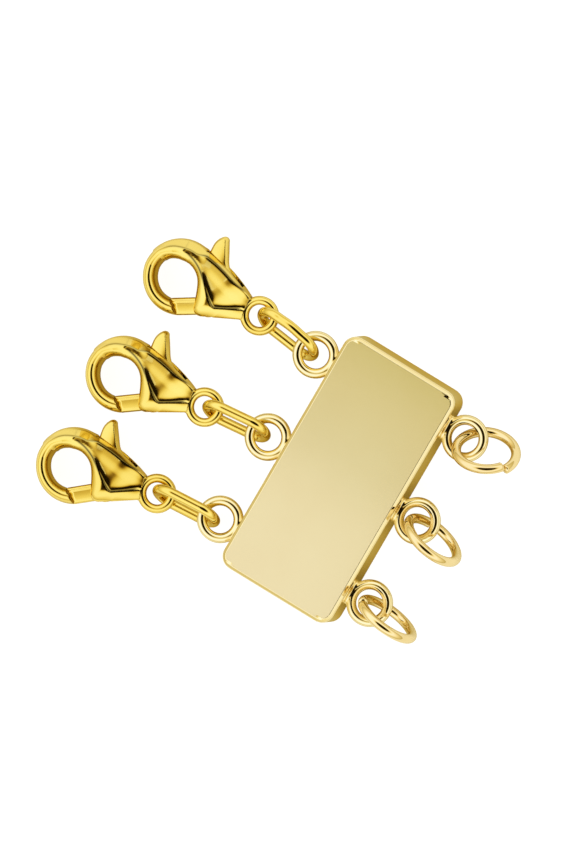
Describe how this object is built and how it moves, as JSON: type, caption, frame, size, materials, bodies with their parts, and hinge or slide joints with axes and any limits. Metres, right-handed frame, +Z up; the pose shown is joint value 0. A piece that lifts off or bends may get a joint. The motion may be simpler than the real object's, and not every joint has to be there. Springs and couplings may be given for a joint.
{
  "type": "multi-strand clasp",
  "caption": "Polished bar clasp for layered necklaces or bracelets: lobster claws on oval links along one side, cut jump rings in soldered loops along the other.",
  "frame": {"origin": "centre of the bar's flat underside", "axes": "+X from the claws to the jump rings, +Y along the bar, +Z up out of the bar's polished face"},
  "size_m": [0.0371, 0.027, 0.0059],
  "materials": {
    "bar_gold": "mirror polished, pale gold plated",
    "claw_gold": "polished, yellow gold plated",
    "ring_gold": "polished, gold plated"
  },
  "bodies": {
    "clasp": {"plate": "bar_gold", "claw_body_1": "claw_gold", "claw_pin_1": "claw_gold", "oval_link_1": "claw_gold", "jump_ring_1": "ring_gold", "claw_body_2": "claw_gold", "claw_pin_2": "claw_gold", "oval_link_2": "claw_gold", "jump_ring_2": "ring_gold", "claw_body_3": "claw_gold", "claw_pin_3": "claw_gold", "oval_link_3": "claw_gold", "jump_ring_3": "ring_gold"},
    "lever_1": {"claw_lever_1": "claw_gold"},
    "lever_2": {"claw_lever_2": "claw_gold"},
    "lever_3": {"claw_lever_3": "claw_gold"}
  },
  "joints": [
    {"name": "claw_lever_1_open", "type": "hinge", "parent": "clasp", "child": "lever_1", "pos_m": [-0.01757, 0.00658, 0.0015], "axis": [0, 0, -1], "range_deg": [0, 20], "stiffness_Nm_per_rad": 0.02},
    {"name": "claw_lever_2_open", "type": "hinge", "parent": "clasp", "child": "lever_2", "pos_m": [-0.01757, -0.00291, 0.0015], "axis": [0, 0, -1], "range_deg": [0, 20], "stiffness_Nm_per_rad": 0.02},
    {"name": "claw_lever_3_open", "type": "hinge", "parent": "clasp", "child": "lever_3", "pos_m": [-0.01727, -0.01165, 0.0015], "axis": [0, 0, -1], "range_deg": [0, 20], "stiffness_Nm_per_rad": 0.02}
  ]
}
